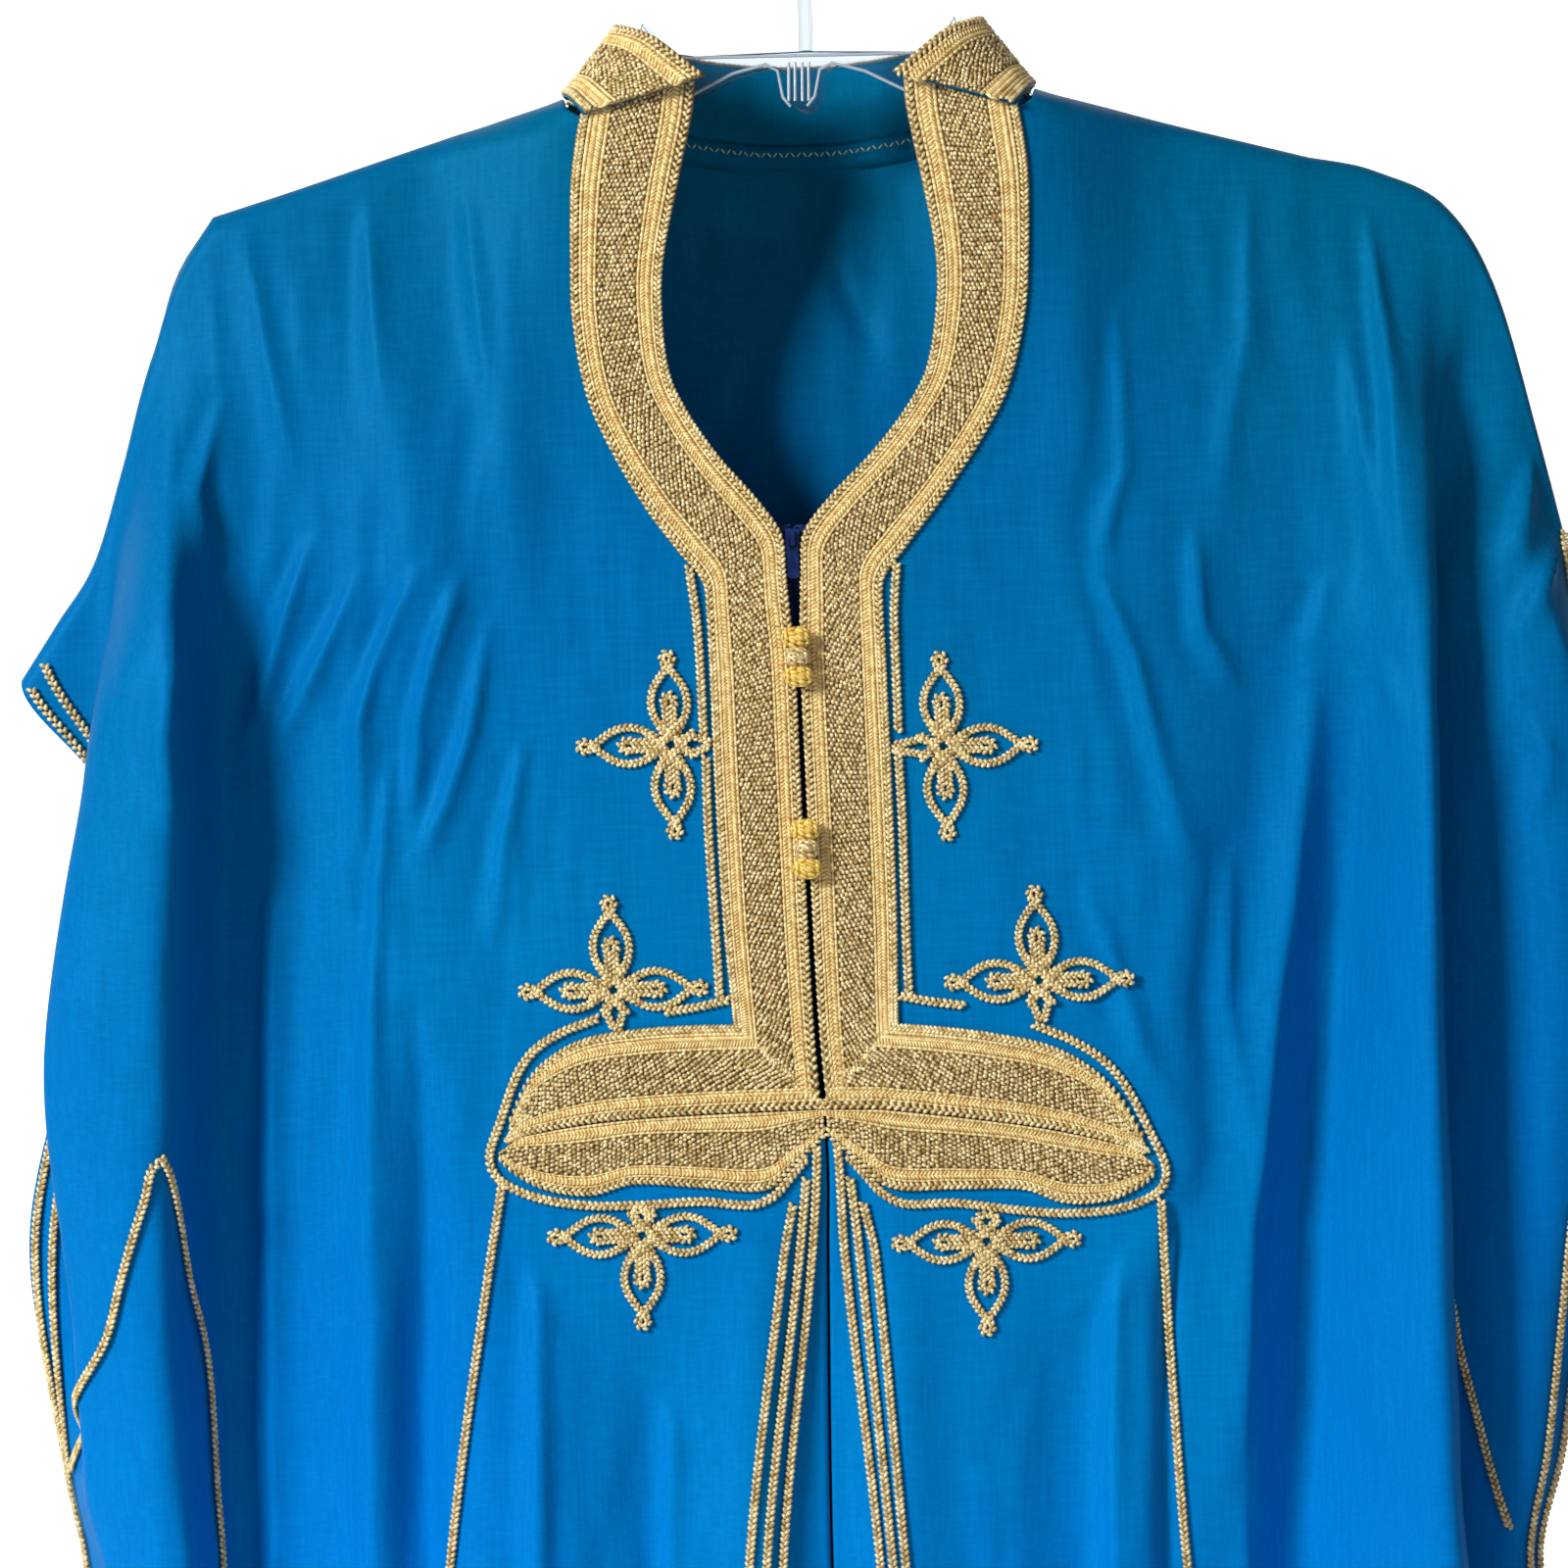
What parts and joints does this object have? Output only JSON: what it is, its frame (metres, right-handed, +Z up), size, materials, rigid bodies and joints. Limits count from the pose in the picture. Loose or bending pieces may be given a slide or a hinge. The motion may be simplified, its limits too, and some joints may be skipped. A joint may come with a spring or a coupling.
{
  "type": "ceremonial kaftan dress on a clothes hanger",
  "caption": "Wide blue kaftan dress with stand collar, front zip, metallic gold braid and knotted cord motifs, hanging from a clear plastic clothes hanger.",
  "frame": {"origin": "inside top of the hanger's hook, where a rail or hook holds it", "axes": "+X to the viewer's right as seen from the front, +Y towards the garment's back, +Z up"},
  "size_m": [0.614, 0.1042, 1.459],
  "materials": {
    "blue_cloth": "thin matt weave with a soft sheen",
    "gold_braid": "woven yellow silk and metallic thread",
    "gold_cord": "plaited metallic thread",
    "yellow_silk": "silk-wrapped knob",
    "navy_tape": "woven tape",
    "navy_metal": "satin enamel",
    "clear_plastic": "clear moulded plastic, smooth"
  },
  "bodies": {
    "dress": {"back_panel": "blue_cloth", "centre_cord_1_left": "gold_cord", "centre_cord_1_right": "gold_cord", "centre_cord_2_left": "gold_cord", "centre_cord_2_right": "gold_cord", "centre_cord_3_left": "gold_cord", "centre_cord_3_right": "gold_cord", "closure_lower_bead": "gold_cord", "closure_lower_bottom_knob": "yellow_silk", "closure_lower_top_knob": "yellow_silk", "closure_upper_bead": "gold_cord", "closure_upper_bottom_knob": "yellow_silk", "closure_upper_top_knob": "yellow_silk", "collar_braid": "gold_braid", "collar_stand": "blue_cloth", "edge_cord_inner_back_left": "gold_cord", "edge_cord_inner_back_right": "gold_cord", "edge_cord_inner_front_left": "gold_cord", "edge_cord_inner_front_right": "gold_cord", "edge_cord_outer_back_left": "gold_cord", "edge_cord_outer_back_right": "gold_cord", "edge_cord_outer_front_left": "gold_cord", "edge_cord_outer_front_right": "gold_cord", "front_panel_left": "blue_cloth", "front_panel_right": "blue_cloth", "hanger_body": "clear_plastic", "hanger_hook": "clear_plastic", "link_cord_left": "gold_cord", "link_cord_right": "gold_cord", "link_turn_cord_left": "gold_cord", "link_turn_cord_right": "gold_cord", "motif_chest_left": "gold_cord", "motif_chest_right": "gold_cord", "motif_skirt_left": "gold_cord", "motif_skirt_right": "gold_cord", "motif_waist_left": "gold_cord", "motif_waist_right": "gold_cord", "neck_braid_left": "gold_braid", "neck_braid_right": "gold_braid", "neck_cord_left": "gold_cord", "neck_cord_right": "gold_cord", "princess_cord_left": "gold_cord", "princess_cord_right": "gold_cord", "side_seam_cord_left": "gold_cord", "side_seam_cord_right": "gold_cord", "sleeve_seam_cord_left": "gold_cord", "sleeve_seam_cord_right": "gold_cord", "waist_braid_lower_left": "gold_braid", "waist_braid_lower_right": "gold_braid", "waist_braid_upper_left": "gold_braid", "waist_braid_upper_right": "gold_braid", "waist_outline_cord_left": "gold_cord", "waist_outline_cord_right": "gold_cord", "zip_slider": "navy_metal", "zip_tape_left": "navy_tape", "zip_tape_right": "navy_tape"},
    "zip_pull": {"zip_pull": "navy_metal"}
  },
  "joints": [
    {"name": "zip_pull_hinge", "type": "hinge", "parent": "dress", "child": "zip_pull", "pos_m": [-0.00902, -0.02645, -0.251], "axis": [-1, 0, 0], "range_deg": [0, 170]}
  ]
}
